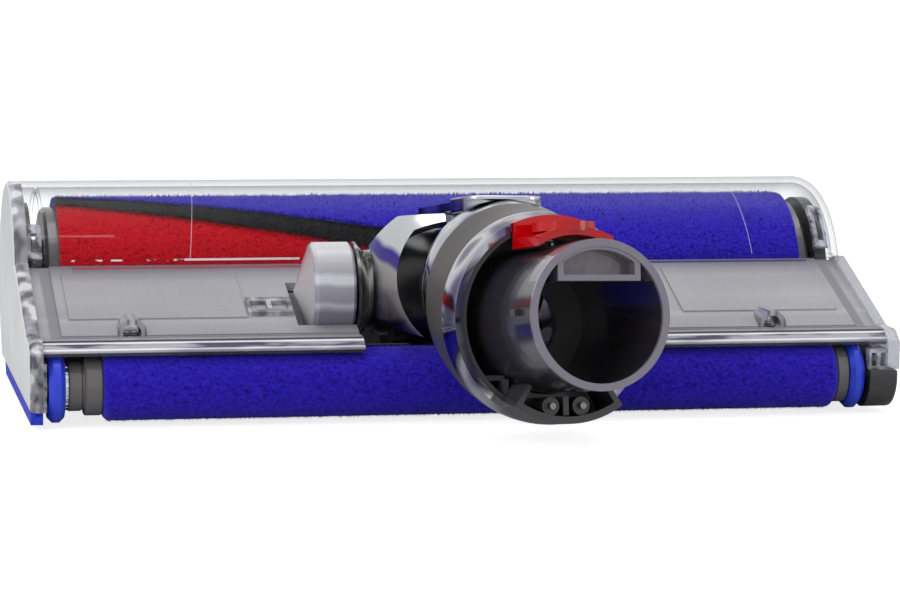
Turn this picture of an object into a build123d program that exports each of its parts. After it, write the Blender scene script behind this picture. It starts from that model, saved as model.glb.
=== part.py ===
from build123d import *
from math import atan2, cos, degrees, radians, sin, sqrt
import os

# A soft roller floor head for a cordless vacuum cleaner.
# +X points to the right seen from behind, +Y forward, +Z up, with the floor at z = 0.
# Everything is modelled with y = 0 at the rear axle, and moved to its own origin at the end.

# Driving sizes of the head
half_width = 125.5
end_plate_thickness = 4.0
sole_height = 2.0
wall = 2.0
felt_height = 4.0
felt_clearance = 0.3

# Front roller
front_axle_y = 77.0
front_pile_radius = 27.5
front_core_radius = 21.5
front_core_wall = 2.5
front_left_space = 14.0
front_right_space = 13.0
front_ring_radius = 24.6
front_ring_width = 4.0
strip_half_angle = 8.0
strip_angle_at_middle = 149.0
strip_twist_per_mm = 0.42
red_angle = 110.0
motor_radius = 14.0
main_cap_radius = 16.0
motor_length = 72.0
motor_inset = 15.5
gearbox_length = 16.0
roller_end_gap = 0.5

# Rear roller
rear_wheel_radius = 10.1
rear_wheel_width = 4.6
rear_pile_radius = 9.75
rear_left_space = 20.6
rear_right_space = 18.7
rear_core_radius = 6.6
rear_axle_radius = 2.5
rear_collar_radius = 8.25
rear_collar_width = 5.0
rear_groove_width = 0.6
rear_sleeve_radius = 6.95
rear_sleeve_width = 3.9
rear_tooth_width = 1.0
rear_right_collar_width = 3.6
shaft_clearance = 0.05
rear_cap_radius = 9.8
rear_cap_top = 12.2
rear_cap_inset = 1.1

# Covers
cover_gap = 3.0
cover_wall = 2.0
cover_front_angle = -12.0
cover_rear_angle = 160.0
cover_corner_radius = 8.0
cover_lip = 3.0
cover_lip_thickness = 1.2
deck_thickness = 2.2
deck_end_strip = 6.0
deck_rear_y = 4.0
deck_rear_z = 23.6
deck_front_z = 38.2
deck_front_y = 46.4
rail_thickness = 1.6
rail_rear_y = -7.0
rail_clearance = 1.5
collar_roller_gap = 0.8
collar_rail_gap = 0.7
boss_radius = 4.1
boss_left_inset = 29.8
boss_right_inset = 35.2
boss_rise = 0.4
deck_screw_radius = 1.6
deck_screw_head_radius = 2.4

# Pitch pivot of the neck
pivot_y = 20.0
pivot_z = 33.5
pivot_cover_radius = 14.0
pivot_cover_inner = 31.6
pivot_cover_width = 11.6
pivot_cone_height = 4.6
pivot_cover_wall = 2.2
bush_radius = 9.0
bush_width = 8.0
trunnion_radius = 6.0
hub_gap = 0.6
hub_inner = 21.0
hub_waist_radius = 11.6
seat_clearance = 0.3

# Neck
ball_radius = 30.3
ball_wall = 2.2
ball_front_angle = 110.0
ball_rear_angle = 203.0
ball_opening_radius = 21.5
ball_opening_tilt = 14.0
slot_half_width = 19.8
duct_radius = 17.5
duct_wall = 2.0
duct_half_width = 21.0
spout_radius = 14.0
spout_reach = 24.0
steer_pin_radius = 3.0
steer_pin_top = 23.6
tongue_eye_radius = 5.8
tongue_skin_half_width = 12.5
tongue_skin_start = 22.6
tongue_skin_radius = 24.4

# Collar and wand tube, on the wand's axis
wand_tilt = 10.0
rest_steer = 11.5
wand_drop = 11.7
collar_front = 32.2
collar_rim = 66.0
collar_front_radius = 24.2
collar_rim_radius = 28.5
collar_front_drop = 1.8
collar_wall = 2.0
liner_wall = 1.6
band_start = 38.0
band_end = 50.0
steer_limit = 27.0
wand_radius = 20.2
wand_wall = 2.0
wand_length_out = 31.5
wand_land = 7.3
wand_land_step = 0.25
wand_root = 46.0
throat_radius = 10.4
pocket_depth = 20.0
pocket_recess = 5.0
pocket_wall = 1.6
pocket_drop = 7.6
pocket_half_width = 12.0
nub_radius = 0.9
nub_length = 1.4
tongue_half_width = 11.5
tongue_height = 20.9
tongue_thickness = 2.3
tongue_clearance = 0.5
cap_width = 24.0
cap_length = 18.5
cap_height = 1.0
cap_reach = 29.5

# Release button
button_half_width = 11.0
button_inset = 7.0
button_face_out = 1.5
button_tip_out = 17.0
button_grip_radius = 8.6
button_pad_thickness = 2.2
button_travel = 1.5
button_clearance = 0.35
button_spring_radius = 2.2
button_spring_wire = 0.4
button_spring_turns = 3

# Connector under the wand tube
connector_half_angle = 34.0
connector_length_out = 8.0
connector_gap = 1.0
contact_spacing = 9.0
contact_holder_radius = 2.5
contact_pin_radius = 0.9
contact_pin_length = 1.5

# Worked-out sizes
front_pile_left = -half_width + front_left_space
front_pile_right = half_width - front_right_space
motor_left = front_pile_left + motor_inset
rear_pile_left = -half_width + rear_left_space
rear_pile_right = half_width - rear_right_space
rear_cap_right = half_width - rear_cap_inset
boss_left_x = -half_width + boss_left_inset
boss_right_x = half_width - boss_right_inset
well_half_width = pivot_cover_inner - seat_clearance
wand_mouth = collar_rim + wand_length_out
button_start = collar_rim - button_inset
button_face = collar_rim + button_face_out
button_tip = collar_rim + button_tip_out
connector_end = collar_rim + connector_length_out
front_axle_z = front_pile_radius
rear_axle_z = rear_wheel_radius
cover_inner_radius = front_pile_radius + cover_gap
cover_outer_radius = cover_inner_radius + cover_wall
inner_half_width = half_width - end_plate_thickness
deck_half_width = inner_half_width - deck_end_strip
deck_slope = (deck_front_z - deck_rear_z) / (deck_front_y - deck_rear_y)
pivot_cover_outer = pivot_cover_inner + pivot_cover_width
roller_clearance_radius = rear_wheel_radius + rail_clearance


def deck_z(y):
    """Height of the deck's upper face."""
    return deck_rear_z + (y - deck_rear_y) * deck_slope


def arc_point(y, z, radius, angle):
    """Point (y, z) on a circle in the side view, at an angle from +Y towards +Z."""
    return (y + radius * cos(radians(angle)), z + radius * sin(radians(angle)))


def side(points):
    """Closed face in the side view, from (y, z) points."""
    return make_face(Polyline(*points, close=True))


def side_disc(y, z, radius):
    """Round face in the side view."""
    return Pos(y, z) * Circle(radius)


def across(face, x0, x1):
    """Solid that carries a side-view face from x0 to x1."""
    return extrude(Plane.YZ.offset(x0) * face, x1 - x0)


def side_wedge(y, z, start, end, reach=140.0):
    """Pie slice in the side view, between two angles less than 180 degrees apart."""
    middle = (start + end) / 2
    far = reach / cos(radians((end - start) / 2)) if end - start < 170 else reach * 3
    return side([(y, z), arc_point(y, z, reach, start), arc_point(y, z, far, middle),
                 arc_point(y, z, reach, end)])


def turned(profile, y, z):
    """Solid turned about an axle along X, from (x, radius) points."""
    face = make_face(Polyline(*profile, close=True))
    return Pos(0, y, z) * revolve(Plane.XZ * face, Axis.X)


def tube_x(outer, inner, x0, x1, y, z):
    """Tube along X."""
    return across(side_disc(y, z, outer) - side_disc(y, z, inner), x0, x1)


def rod_x(radius, x0, x1, y, z):
    """Round bar along X."""
    return across(side_disc(y, z, radius), x0, x1)


# Head body: covers and casing

def cover_sector(radius):
    """Side view of the arch over the front roller, out to a radius."""
    disc = side_disc(front_axle_y, front_axle_z, radius)
    return disc & side_wedge(front_axle_y, front_axle_z, cover_front_angle, cover_rear_angle)


def cover_hollow():
    """Space under the arch, with the same rounding at its closed right end."""
    space = across(side_disc(front_axle_y, front_axle_z, cover_inner_radius),
                   -inner_half_width, half_width - cover_wall)
    arc = [e for e in space.edges().filter_by(GeomType.CIRCLE) if e.center().X > 0]
    return fillet(arc, cover_corner_radius - cover_wall)


def front_cover():
    """One clear moulding: the arch, its rounded right end and the lip over the deck."""
    outer = across(cover_sector(cover_outer_radius), -inner_half_width, half_width)
    end_arc = [e for e in outer.edges().filter_by(GeomType.CIRCLE) if e.center().X > half_width - 0.1]
    outer = fillet(end_arc, cover_corner_radius)
    hollow = cover_hollow()
    y, z = arc_point(front_axle_y, front_axle_z, cover_inner_radius, cover_rear_angle)
    lip_top = deck_front_z + cover_lip_thickness
    lip = across(side([(y - cover_lip, deck_front_z), (y + cover_wall, deck_front_z),
                       (y + cover_wall, lip_top), (y - cover_lip, lip_top)]),
                 -inner_half_width, inner_half_width)
    lip -= across(side_disc(front_axle_y, front_axle_z, cover_inner_radius),
                  -half_width, half_width)
    cap_hole = rod_x(main_cap_radius + seat_clearance, inner_half_width - 1, half_width + 1,
                     front_axle_y, front_axle_z)
    ring = side_disc(front_axle_y, front_axle_z, cover_inner_radius + 0.5) \
        - side_disc(front_axle_y, front_axle_z, cover_inner_radius - 1.6)
    rib_x = front_pile_left - front_ring_width - 1.6
    rib = across(ring & side_wedge(front_axle_y, front_axle_z, cover_front_angle, cover_rear_angle),
                 rib_x, rib_x + 1.0)
    return (outer - hollow) + lip + rib - cap_hole


def neck_well(margin=0.0):
    """Space in the middle of the head that the neck turns in."""
    half = well_half_width + margin
    return Pos(0, pivot_y - 8, 50) * Box(2 * half, 64, 100)


def pivot_cover_space(side_sign):
    """Space that one pivot cover needs in the deck."""
    x0 = side_sign * (pivot_cover_inner - 2 * seat_clearance)
    x1 = side_sign * (pivot_cover_outer + pivot_cone_height + seat_clearance)
    return rod_x(pivot_cover_radius + seat_clearance, min(x0, x1), max(x0, x1), pivot_y, pivot_z)


def boss_places():
    return [boss_left_x, boss_right_x]


def frosted_deck():
    """Sloped top with its raised border, catch seat and holes for the screw bosses."""
    under = deck_thickness / cos(atan2(deck_slope, 1))
    plate = across(side([(deck_rear_y, deck_z(deck_rear_y)), (deck_front_y, deck_z(deck_front_y)),
                         (deck_front_y, deck_z(deck_front_y) - under),
                         (deck_rear_y, deck_z(deck_rear_y) - under)]),
                   -deck_half_width, deck_half_width)
    strip_drop = 0.6
    for x0, x1 in ((-inner_half_width, -deck_half_width), (deck_half_width, inner_half_width)):
        plate += across(side([(deck_rear_y, deck_z(deck_rear_y) - strip_drop),
                              (deck_front_y, deck_z(deck_front_y) - strip_drop),
                              (deck_front_y, deck_z(deck_front_y) - under),
                              (deck_rear_y, deck_z(deck_rear_y) - under)]), x0, x1)
    plate -= across(side_disc(front_axle_y, front_axle_z, cover_inner_radius),
                    -half_width, half_width)
    panel_rise = 0.5
    for x0, x1 in ((-deck_half_width + 3.0, -62.0), (66.0, deck_half_width - 3.0)):
        plate += across(side([(deck_rear_y + 9, deck_z(deck_rear_y + 9)),
                              (deck_front_y - 6, deck_z(deck_front_y - 6)),
                              (deck_front_y - 6, deck_z(deck_front_y - 6) + panel_rise),
                              (deck_rear_y + 9, deck_z(deck_rear_y + 9) + panel_rise)]), x0, x1)
    plate -= neck_well()
    for sign in (-1, 1):
        plate -= pivot_cover_space(sign)
    for x in boss_places():
        plate -= boss_block(x)
    return plate


def boss_block(x):
    """Outline of a screw boss: a half-round arch that runs forward out of the slope."""
    centre_z = deck_z(deck_rear_y) + boss_rise
    length = (boss_radius + boss_rise) / deck_slope + 2
    arch = Plane.XZ.offset(-deck_rear_y) * (Pos(x, centre_z) * Circle(boss_radius)
                                            + Pos(x, centre_z - boss_radius)
                                            * Rectangle(2 * boss_radius, 2 * boss_radius))
    return extrude(arch, -length) & Pos(x, 0, centre_z + 20 - 1.5) * Box(40, 200, 40)


def screw_bosses():
    """Two clear arches with a blind hole for a screw that points forward."""
    bosses = []
    for x in boss_places():
        centre_z = deck_z(deck_rear_y) + boss_rise
        bore = Pos(x, deck_rear_y + 4, centre_z) * Rot(90, 0, 0) * Cylinder(deck_screw_head_radius
                                                                          + 0.2, 8.2)
        bosses.append(boss_block(x) - bore)
    return Compound(bosses)


def deck_screws():
    """Pan-head screws with a cross slot, down in the bosses."""
    screws = []
    for x in boss_places():
        centre_z = deck_z(deck_rear_y) + boss_rise
        head = Pos(x, deck_rear_y + 6.6, centre_z) * Rot(90, 0, 0) * Cylinder(deck_screw_head_radius, 2)
        for turn in (0, 90):
            head -= Pos(x, deck_rear_y + 5.8, centre_z) * Rot(0, turn, 0) * Box(3.2, 1.0, 0.7)
        screws.append(head)
    return Compound(screws)


def deck_clip():
    """Rectangular catch on the deck beside the neck."""
    x0, x1, y0, y1 = -61.4, -48.6, 14.0, 23.0
    lift = 1.3
    frame = across(side([(y0, deck_z(y0)), (y1, deck_z(y1)), (y1, deck_z(y1) + lift),
                         (y0, deck_z(y0) + lift)]), x0, x1)
    slot_width = 4.6
    for x in (x0 + 3.4, x1 - 3.4):
        frame -= Pos(x, (y0 + y1) / 2, deck_z((y0 + y1) / 2)) * Rot(degrees(atan2(deck_slope, 1)), 0, 0) \
            * Box(slot_width, 5.4, 12)
    return frame - pivot_cover_space(-1)


def rear_rail():
    """Clear hood along the back edge, above the rear roller."""
    top = deck_rear_z - 0.4
    section = side([(deck_rear_y, top), (-3.2, top), (rail_rear_y, top - 2.4),
                    (rail_rear_y, rear_axle_z + 8.0), (deck_rear_y, rear_axle_z + 8.0)])
    section -= side_disc(0, rear_axle_z, roller_clearance_radius)
    hood = across(section, -inner_half_width, inner_half_width)
    groove = across(side([(1.4, top - 0.7), (2.6, top - 0.7), (2.6, top + 1), (1.4, top + 1)]),
                    -inner_half_width + 3, inner_half_width - 3)
    return hood - groove - neck_well()


def chassis_outline(grow):
    """Side view of the base between the rollers, shrunk by a wall."""
    rear_y = deck_rear_y + grow
    top_rear = deck_z(rear_y) - deck_thickness / cos(atan2(deck_slope, 1))
    top_front = deck_z(deck_front_y) - deck_thickness / cos(atan2(deck_slope, 1))
    rise = 30.0 if grow else 0.0
    face = side([(rear_y, sole_height + grow), (front_axle_y, sole_height + grow),
                 (front_axle_y, top_front + (front_axle_y - deck_front_y) * deck_slope + rise),
                 (rear_y, top_rear + rise)])
    face -= side_disc(front_axle_y, front_axle_z, front_pile_radius + 1.6 + grow)
    face -= side_disc(0, rear_axle_z, roller_clearance_radius + grow)
    face &= side([(-20, -5), (front_axle_y - 3, -5), (front_axle_y - 3, front_axle_z),
                  (deck_front_y, top_front + 40), (-20, 90)])
    return face


def chassis():
    """Base moulding: sole, curved walls beside both rollers, end ribs and the suction throat."""
    trim = across(side_disc(front_axle_y, front_axle_z, cover_outer_radius)
                  & side_wedge(front_axle_y, front_axle_z, 120, 175), -half_width, half_width)
    body = across(chassis_outline(0), -inner_half_width, inner_half_width)
    body -= across(chassis_outline(wall), -inner_half_width + wall, inner_half_width - wall)
    body -= trim
    ribs = [-86.0, -62.0, 62.0, 86.0]
    inner = across(chassis_outline(wall), -inner_half_width + wall, inner_half_width - wall)
    deck_cut = across(side([(-30, deck_z(-30) - 3.0), (90, deck_z(90) - 3.0), (90, 160), (-30, 160)]),
                      -half_width, half_width)
    for x in ribs:
        body += (inner & Pos(x, 0, 0) * Box(wall, 300, 300)) - deck_cut - trim
    well_wall = (inner & Pos(0, 0, 0) * Box(2 * (pivot_cover_outer + 8), 300, 300)) - deck_cut - trim
    well_wall -= Pos(0, 0, 50 + sole_height + wall) * Box(2 * pivot_cover_inner - 1.2, 300, 100)
    body += well_wall
    body -= neck_swing()
    for sign in (-1, 1):
        body -= rod_x(pivot_cover_radius, min(sign * 30, sign * 60), max(sign * 30, sign * 60),
                      pivot_y, pivot_z)
    for x in boss_places():
        body -= boss_block(x)
    return body - suction_inlet()


def neck_swing():
    """Room for the barrel of the neck and the ball over the whole pitch travel."""
    room = Pos(0, pivot_y, pivot_z) * Sphere(spout_reach + 0.9)
    room += rod_x(duct_radius + 0.5, -pivot_cover_inner, pivot_cover_inner, pivot_y, pivot_z)
    room += Pos(0, pivot_y - 16, pivot_z + 16) * Box(2 * well_half_width, 66, 60)
    return room


def suction_inlet():
    """Opening in the front wall that the dust leaves the roller chamber through."""
    return Pos(0, 46, 17) * Box(34, 30, 18)


def end_outline():
    """Side view of an end of the head."""
    rear = rail_rear_y - 1.5
    arch = side_disc(front_axle_y, front_axle_z, cover_outer_radius)
    reach = sqrt(cover_outer_radius ** 2 - (front_axle_z - felt_height) ** 2)
    body = side([(rear, felt_height), (front_axle_y + reach, felt_height),
                 (front_axle_y, front_axle_z + 10), (deck_front_y, deck_front_z + 1),
                 (deck_rear_y, deck_rear_z + 0.2), (-4.0, deck_rear_z), (rear, deck_rear_z - 3)])
    return body + (arch & side([(30, felt_height), (140, felt_height), (140, 90), (30, 90)]))


def left_end_plate():
    """Pale outer plate of the left end, with softly rounded outer edges."""
    plate = across(end_outline(), -half_width, -inner_half_width)
    outer_face = plate.faces().sort_by(Axis.X)[0]
    return fillet(outer_face.edges(), 1.6)


def right_end_plate():
    """Clear plate of the right end, below and behind the cover's own rounded end."""
    plate = across(end_outline(), inner_half_width, half_width)
    plate = fillet(plate.faces().sort_by(Axis.X)[-1].edges(), 1.6)
    plate -= across(side_disc(front_axle_y, front_axle_z, cover_outer_radius + 1)
                    & side_wedge(front_axle_y, front_axle_z, cover_front_angle, cover_rear_angle),
                    inner_half_width - 1, half_width + 1)
    plate -= rod_x(main_cap_radius + seat_clearance, inner_half_width, half_width + 1,
                   front_axle_y, front_axle_z)
    plate -= rear_cap_space(inner_half_width - 1, half_width + 1)
    return plate.solids().sort_by(SortBy.VOLUME)[-1]


def rear_cap_space(x0, x1):
    """Room for the dark cap behind the right end."""
    face = side_disc(0, rear_axle_z, rear_cap_radius) \
        & side([(-20, -5), (20, -5), (20, rear_cap_top), (-20, rear_cap_top)])
    return across(face, x0, x1)


def main_end_cap():
    """Quarter-turn lock of the front roller, with a coin slot."""
    cap = rod_x(main_cap_radius, inner_half_width, half_width - 0.4, front_axle_y, front_axle_z)
    rim = cap.faces().sort_by(Axis.X)[-1].edges()
    cap = fillet(rim, 1.0)
    cap -= Pos(half_width, front_axle_y, front_axle_z) * Box(3.0, 2.6, 20)
    for angle in (45, 225):
        y, z = arc_point(front_axle_y, front_axle_z, main_cap_radius - 3.2, angle)
        cap -= rod_x(1.3, half_width - 1.4, half_width + 1, y, z)
    return cap


def right_end_housing():
    """Clear block behind the right end, with a window and two bars over the rear axle."""
    x0, x1 = rear_right_wheel_end() + 1.0, inner_half_width
    rear, front, top = rail_rear_y - 1.5, deck_rear_y - 0.1, rear_axle_z + 8.0
    block = across(side([(rear, rear_cap_top), (front, rear_cap_top), (front, top), (rear, top)]), x0, x1)
    middle = (x0 + x1) / 2
    for x in (middle - 1.35, middle + 1.35):
        block -= Pos(x, rear, (rear_cap_top + top) / 2) * Box(1.7, 8.0, top - rear_cap_top - 2.0)
    return block - rod_x(rear_axle_radius + shaft_clearance, x0 - 1, x1, 0, rear_axle_z)


def left_end_housing():
    """Clear block behind the left end that carries the rear axle."""
    x0, x1 = -inner_half_width, rear_left_wheel_start() - 0.6
    block = across(side([(rail_rear_y - 1.5, felt_height), (deck_rear_y - 0.1, felt_height),
                         (deck_rear_y - 0.1, deck_rear_z - 6.0), (rail_rear_y - 1.5, deck_rear_z - 6.0)]),
                   x0, x1)
    return block - rod_x(rear_axle_radius, x0 - 1, x1 + 1, 0, rear_axle_z)


def rear_left_wheel_start():
    return (rear_pile_left - rear_collar_width - rear_groove_width - rear_sleeve_width
            - rear_tooth_width - rear_wheel_width)


def rear_right_wheel_end():
    return rear_pile_right + rear_right_collar_width + rear_wheel_width


def rear_end_cap():
    """Dark cap below the clear housing, round about the axle and flat on top."""
    x0 = rear_right_wheel_end() + 1.0
    cap = rear_cap_space(x0, rear_cap_right)
    rim = [e for e in cap.faces().sort_by(Axis.X)[-1].edges()]
    cap = fillet(rim, 1.0)
    return cap - rod_x(rear_axle_radius, x0 - 1, x0 + 4.5, 0, rear_axle_z)


def rear_axle():
    """Fixed steel rod that the rear roller turns on."""
    return rod_x(rear_axle_radius, -inner_half_width, rear_right_wheel_end() + 5.5, 0, rear_axle_z)


def felt_strip(x0, x1, rear):
    """Felt under one end, held by the end plate above it."""
    front = front_axle_y + 12.0
    return across(side([(rear, 0.4), (front, 0.4), (front + 3, felt_height), (rear, felt_height)]), x0, x1)


def left_felt_seal():
    return felt_strip(-half_width + 0.6, -inner_half_width, rail_rear_y)


def right_felt_seal():
    return felt_strip(inner_half_width, half_width - 0.6, rear_cap_radius + seat_clearance)


def left_drive_housing():
    """Dark gearbox cover at the left end, with its raised hub towards the roller."""
    x0, x1 = -inner_half_width, front_pile_left - front_ring_width - roller_end_gap
    disc = across(side_disc(front_axle_y, front_axle_z, 26.0)
                  & side([(30, sole_height + 1), (140, sole_height + 1), (140, 90), (30, 90)]),
                  x0, x0 + wall)
    hub = rod_x(motor_radius + 1.0, x0 + wall, x1, front_axle_y, front_axle_z)
    return (disc + hub) - rod_x(motor_radius - 4, x0 - 1, x1 + 1, front_axle_y, front_axle_z)


def motor_mount():
    """Tube that carries the motor out into the roller from the gearbox cover."""
    x0, x1 = -inner_half_width, motor_left + motor_length + 3
    tube = tube_x(motor_radius + 1.5, motor_radius, x1 - motor_length - gearbox_length, x1,
                  front_axle_y, front_axle_z)
    neck = tube_x(motor_radius - 4, motor_radius - 6.5, x0, x1 - motor_length - gearbox_length + 2,
                  front_axle_y, front_axle_z)
    flange = tube_x(motor_radius + 1.5, motor_radius - 6.5, x1 - motor_length - gearbox_length - 2,
                    x1 - motor_length - gearbox_length, front_axle_y, front_axle_z)
    return tube + neck + flange


def brush_motor():
    """Motor can with its boss and shaft stub."""
    x0 = motor_left
    can = rod_x(motor_radius, x0, x0 + motor_length, front_axle_y, front_axle_z)
    boss = rod_x(5.0, x0 + motor_length, x0 + motor_length + 3, front_axle_y, front_axle_z)
    return can + boss + rod_x(2.0, x0 + motor_length + 3, x0 + motor_length + 12,
                              front_axle_y, front_axle_z)


def right_bearing_block():
    """Dark carrier with a spindle for the roller's right end."""
    x0, x1 = front_pile_right + front_ring_width + roller_end_gap, inner_half_width
    disc = across(side_disc(front_axle_y, front_axle_z, 26.0)
                  & side([(30, sole_height + 1), (140, sole_height + 1), (140, 90), (30, 90)]), x0 + 1, x1)
    spindle = rod_x(6.0, x0 - 14, x0 + 1, front_axle_y, front_axle_z)
    collar = rod_x(9.0, x0, x0 + 1, front_axle_y, front_axle_z)
    return disc + spindle + collar


def cover_clip(x0, x1, start, end):
    """Clear U-shaped clip inside the cover, following its curve."""
    ring = side_disc(front_axle_y, front_axle_z, cover_inner_radius) \
        - side_disc(front_axle_y, front_axle_z, cover_inner_radius - 2.0)
    clip = across(ring & side_wedge(front_axle_y, front_axle_z, start, end), x0, x1)
    slot = across(ring & side_wedge(front_axle_y, front_axle_z, start + 6, end - 4), x0 + 1.3, x1 - 1.3)
    return clip - slot


def left_cover_clip():
    return cover_clip(-inner_half_width, -inner_half_width + 4.4, 134, 156)


def right_cover_clip():
    return cover_clip(inner_half_width - 4.6, inner_half_width - 0.2, 124, 153) & cover_hollow()


# Pitch pivot

def pivot_cover(sign):
    """Clear drum with a shallow cone outside and a bore for the bush."""
    a, b = pivot_cover_inner, pivot_cover_outer
    r = pivot_cover_radius
    drum = turned([(a, bush_radius), (a, r - 0.8), (a + 0.8, r), (b - 0.8, r), (b, r - 0.8),
                   (b + pivot_cone_height, 0.0), (b + pivot_cone_height - pivot_cover_wall, 0.0),
                   (b - pivot_cover_wall, bush_radius + 0.0)], pivot_y, pivot_z)
    return drum if sign > 0 else mirror(drum, Plane.YZ)


def pivot_bush(sign):
    """Plain bearing between the pivot cover and the hub's pin."""
    a = pivot_cover_inner + 0.6
    bush = tube_x(bush_radius, trunnion_radius + shaft_clearance, a, a + bush_width, pivot_y, pivot_z)
    return bush if sign > 0 else mirror(bush, Plane.YZ)


def hub(sign):
    """Smoky hub of the neck: a waisted spool with its pin."""
    outer = pivot_cover_inner - hub_gap
    r = pivot_cover_radius
    spool = turned([(hub_inner, 8.0), (hub_inner, 13.4), (24.2, 12.9), (26.0, hub_waist_radius),
                    (27.8, hub_waist_radius), (outer - 0.8, r), (outer, r), (outer, trunnion_radius),
                    (outer + 8.2, trunnion_radius), (outer + 8.2, 4.0), (outer - 2.0, 4.0),
                    (outer - 4.0, 8.0)], pivot_y, pivot_z)
    return spool if sign > 0 else mirror(spool, Plane.YZ)


# Neck

def neck_place():
    return Pos(0, pivot_y, pivot_z)


def tilted(angle):
    """Plane at the pivot, with its normal backwards and tilted up, and its y axis up."""
    a = radians(angle)
    return Plane(origin=(0, pivot_y, pivot_z), x_dir=(1, 0, 0), z_dir=(0, -cos(a), sin(a)))


def neck_shell():
    """Glossy part of the ball over the pivot, open behind, with the slot for the tongue."""
    ball = neck_place() * (Sphere(ball_radius) - Sphere(ball_radius - ball_wall))
    wedge = across(side_wedge(pivot_y, pivot_z, ball_front_angle, ball_rear_angle, 60), -40, 40)
    shell = ball & wedge
    opening = tilted(ball_opening_tilt).location * Pos(0, 0, 30) * Cylinder(ball_opening_radius, 60)
    straight = tilted(wand_tilt).location
    slot = straight * Pos(0, tongue_height - tongue_clearance + 20, 0) * Box(2 * slot_half_width, 40, 90)
    hub_room = rod_x(pivot_cover_radius, -pivot_cover_inner, pivot_cover_inner, pivot_y, pivot_z)
    bridge = ball & across(side_wedge(pivot_y, pivot_z, 120, 132, 60), -ball_opening_radius,
                           ball_opening_radius)
    shell = (shell - opening + bridge) - slot - hub_room
    inner_ball = neck_place() * Sphere(ball_radius - ball_wall / 2)
    for sign in (-1, 1):
        x0, x1 = sorted((sign * hub_inner, sign * (hub_inner + 1.6)))
        shell += tube_x(18.4, 13.4, x0, x1, pivot_y, pivot_z) & wedge & inner_ball - slot
    return shell


def neck_duct():
    """Black barrel that turns in the well, with the spout that the collar seats on."""
    barrel = rod_x(duct_radius, -duct_half_width, duct_half_width, pivot_y, pivot_z)
    frame = tilted(wand_tilt)
    spout = frame.location * Pos(0, 0, spout_reach / 2) * Cylinder(spout_radius, spout_reach)
    spout &= neck_place() * Sphere(spout_reach)
    body = barrel + spout
    hollow = rod_x(duct_radius - duct_wall, -duct_half_width + duct_wall,
                   duct_half_width - duct_wall, pivot_y, pivot_z)
    hollow += frame.location * Pos(0, 0, spout_reach) * Cylinder(spout_radius - duct_wall,
                                                                 2 * spout_reach)
    inlet = across(side_wedge(pivot_y, pivot_z, -75, 20, 40), -duct_half_width + 4,
                   duct_half_width - 4)
    return body - (hollow & neck_room()) - inlet


def neck_room():
    """Half space behind and around the pivot that the duct is hollow in."""
    return Pos(0, pivot_y, pivot_z) * Sphere(40)


def steer_pin():
    """Upright pin on the barrel that the collar's tongue turns on."""
    length = steer_pin_top - duct_radius + 1.0
    pin = tilted(wand_tilt).location * Pos(0, duct_radius - 1.0 + length / 2, 0) * Rot(90, 0, 0) \
        * Cylinder(steer_pin_radius, length)
    return pin - rod_x(duct_radius, -duct_half_width, duct_half_width, pivot_y, pivot_z)


# Collar, built on the wand's axis: local z runs out along the wand, local y is up

def collar_frame():
    """Plane at the pivot, tilted with the wand and steered as it rests."""
    t, s = radians(wand_tilt), radians(rest_steer)
    back = Vector(0, -cos(t), sin(t))
    return Plane(origin=(0, pivot_y, pivot_z), x_dir=Vector(cos(s), 0, 0) - back * sin(s),
                 z_dir=back * cos(s) + Vector(sin(s), 0, 0))


def ring_at(reach, drop, radius):
    return Pos(0, -drop, reach) * Circle(radius)


def collar_sections(inset):
    """Rings of the collar from its front to its rim: (reach, drop, radius)."""
    grow = [(collar_front, collar_front_drop, collar_front_radius),
            (band_start, 3.6, collar_front_radius + 2.4),
            ((band_start + band_end) / 2, 6.3, collar_rim_radius - 0.6),
            (band_end, 8.7, collar_rim_radius + 0.1),
            (collar_rim, wand_drop, collar_rim_radius)]
    return [(reach, drop, radius - inset) for reach, drop, radius in grow]


def collar_body(inset):
    """Solid egg-shaped body of the collar, or its inside."""
    rings = [ring_at(*section) for section in collar_sections(inset)]
    return loft(rings)


def slab(start, end):
    return Pos(0, 0, (start + end) / 2) * Box(200, 200, end - start)


def button_window():
    """Gap in the collar's top for the release button."""
    half = button_half_width + button_clearance
    return Pos(0, 30 - wand_drop + wand_radius - 8, (button_start + 90) / 2 - button_clearance) \
        * Box(2 * half, 60, 90 - button_start)


def roller_sweep():
    """Room that the rear roller, rail and deck take from the collar over the steering travel."""
    top = deck_rear_z - 0.4 + collar_rail_gap
    rear = rail_rear_y - collar_rail_gap
    rail = side([(rear, 0), (rear, top - 2.2), (-3.6, top), (deck_rear_y + 1, top),
                 (deck_front_y, deck_front_z + collar_rail_gap), (deck_front_y, 0)])
    space = rod_x(roller_clearance_radius + collar_roller_gap, -half_width, half_width, 0, rear_axle_z)
    for sign in (-1, 1):
        x0, x1 = sorted((sign * (well_half_width - collar_rail_gap), sign * half_width))
        space += across(rail, x0, x1)
    local = tilted(wand_tilt).location.inverse() * space
    steps = 6
    return [Rot(0, steer_limit * (2 * i / steps - 1), 0) * local for i in range(steps + 1)]


def collar_skin(start, end):
    """One moulding of the collar's outside, between two reaches."""
    skin = (collar_body(0) - collar_body(collar_wall)) & slab(start, end)
    return skin


def collar_front_ring():
    """Glossy front ring with the tongue that reaches over the ball to the steering pin."""
    ring = collar_skin(collar_front, band_start)
    ring = ring + tongue()
    for cut in roller_sweep():
        ring -= cut
    return ring.solids().sort_by(SortBy.VOLUME)[-1]


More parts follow.
